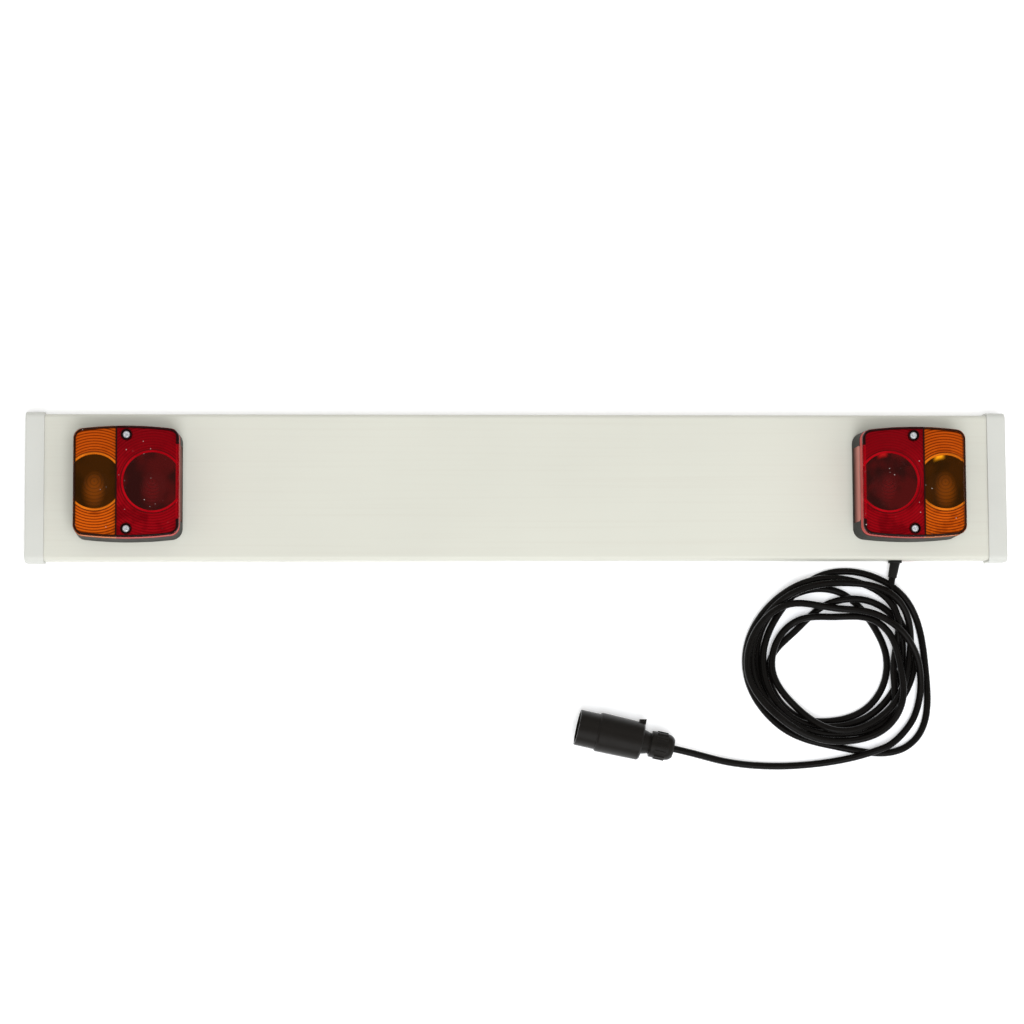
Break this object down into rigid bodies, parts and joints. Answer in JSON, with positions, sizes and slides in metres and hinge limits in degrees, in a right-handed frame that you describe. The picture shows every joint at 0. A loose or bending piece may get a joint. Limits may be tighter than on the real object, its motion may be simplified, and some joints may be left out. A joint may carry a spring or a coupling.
{
  "type": "trailer lighting board",
  "caption": "Long white channel board with a rear lamp near each end, each with an amber indicator and a red stop and tail lens, a coiled black cable and a round plug.",
  "frame": {"origin": "centre of the board's open back, on the surface that it lies on", "axes": "+X along the board to the end where the cable leaves, +Y up the board's face, +Z out of the face"},
  "size_m": [0.915, 0.3331, 0.075],
  "materials": {
    "white_pvc": "satin, slightly warm white",
    "cap_plastic": "satin, greyer white",
    "black_plastic": "fine grained",
    "amber_acrylic": "clear gloss, prismatic inside",
    "red_acrylic": "clear gloss, prismatic inside",
    "clear_acrylic": "clear gloss",
    "bulb_glass": "clear",
    "zinc_steel": "bright zinc plate",
    "black_rubber": "matt",
    "cable_sheath": "satin sheath",
    "contact_brass": "turned",
    "clip_nylon": "natural"
  },
  "bodies": {
    "root": {"board_panel": "white_pvc", "left_end_cap": "cap_plastic", "right_end_cap": "cap_plastic", "lamp_base_left": "black_plastic", "lamp_base_right": "black_plastic", "plug_shell": "black_plastic", "plug_gland_nut": "black_plastic", "plug_contact_carrier": "black_plastic", "amber_lens_left": "amber_acrylic", "amber_lens_right": "amber_acrylic", "red_lens_left": "red_acrylic", "red_lens_right": "red_acrylic", "plate_lamp_window_left": "clear_acrylic", "plate_lamp_window_right": "clear_acrylic", "indicator_bulb_left": "bulb_glass", "indicator_bulb_right": "bulb_glass", "stop_tail_bulb_left": "bulb_glass", "stop_tail_bulb_right": "bulb_glass", "indicator_bulb_holder_left": "zinc_steel", "indicator_bulb_holder_right": "zinc_steel", "stop_tail_bulb_holder_left": "zinc_steel", "stop_tail_bulb_holder_right": "zinc_steel", "lens_screws_left": "zinc_steel", "lens_screws_right": "zinc_steel", "base_bolts_left": "zinc_steel", "base_bolts_right": "zinc_steel", "base_washers_left": "zinc_steel", "base_washers_right": "zinc_steel", "base_nuts_left": "zinc_steel", "base_nuts_right": "zinc_steel", "lens_seal_left": "black_rubber", "lens_seal_right": "black_rubber", "feed_grommet_right": "black_rubber", "link_grommet_left": "black_rubber", "link_grommet_right": "black_rubber", "cable_gland": "black_rubber", "plug_cable_seal": "black_rubber", "cable_lead_in": "cable_sheath", "cable_coil": "cable_sheath", "cable_lead_out": "cable_sheath", "plug_cable_end": "cable_sheath", "feed_lead": "cable_sheath", "link_lead": "cable_sheath", "plug_contacts": "contact_brass", "cable_clips": "clip_nylon"}
  },
  "joints": []
}
